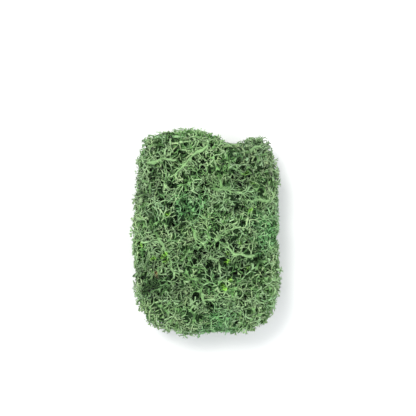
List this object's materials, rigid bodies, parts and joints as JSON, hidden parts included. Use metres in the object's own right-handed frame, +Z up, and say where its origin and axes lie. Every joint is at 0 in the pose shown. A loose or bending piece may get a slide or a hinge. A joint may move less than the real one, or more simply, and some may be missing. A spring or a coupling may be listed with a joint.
{
  "type": "reindeer moss clump",
  "caption": "Loose rectangular cushion of packed reindeer lichen tufts with forked tips and long stems, for filling planters, terrariums and displays.",
  "frame": {"origin": "on the surface the clump rests on, under the middle of its bounding box", "axes": "+Z up, away from the surface; +Y along the clump's length, towards the end with the bright dome; +X across its width"},
  "size_m": [0.1224, 0.1698, 0.0564],
  "materials": {
    "moss_bright": "matt, light green lichen tips",
    "moss_mid": "matt, mid green lichen",
    "moss_blue": "matt, slightly bluish green lichen",
    "moss_deep": "matt, dark green inner lichen"
  },
  "bodies": {
    "root": {"tuft_top_left": "moss_mid", "tuft_top_fan": "moss_bright", "tuft_bright_dome": "moss_bright", "tuft_top_right_low": "moss_deep", "tuft_upper_left_low": "moss_deep", "tuft_upper_fan": "moss_bright", "tuft_upper_right": "moss_mid", "tuft_left_open": "moss_mid", "tuft_soft_head": "moss_blue", "tuft_upper_middle": "moss_mid", "tuft_middle": "moss_bright", "tuft_middle_right": "moss_bright", "tuft_right_net": "moss_blue", "tuft_middle_left": "moss_mid", "tuft_left_net": "moss_bright", "tuft_hollow": "moss_deep", "tuft_right_horn": "moss_mid", "tuft_lower_left_low": "moss_deep", "tuft_lower_middle": "moss_mid", "tuft_lower_dome": "moss_bright", "tuft_lower_right": "moss_mid", "tuft_foot_left": "moss_mid", "tuft_foot_middle_left": "moss_mid", "tuft_foot_middle_right": "moss_blue", "tuft_foot_right": "moss_mid"}
  },
  "joints": []
}
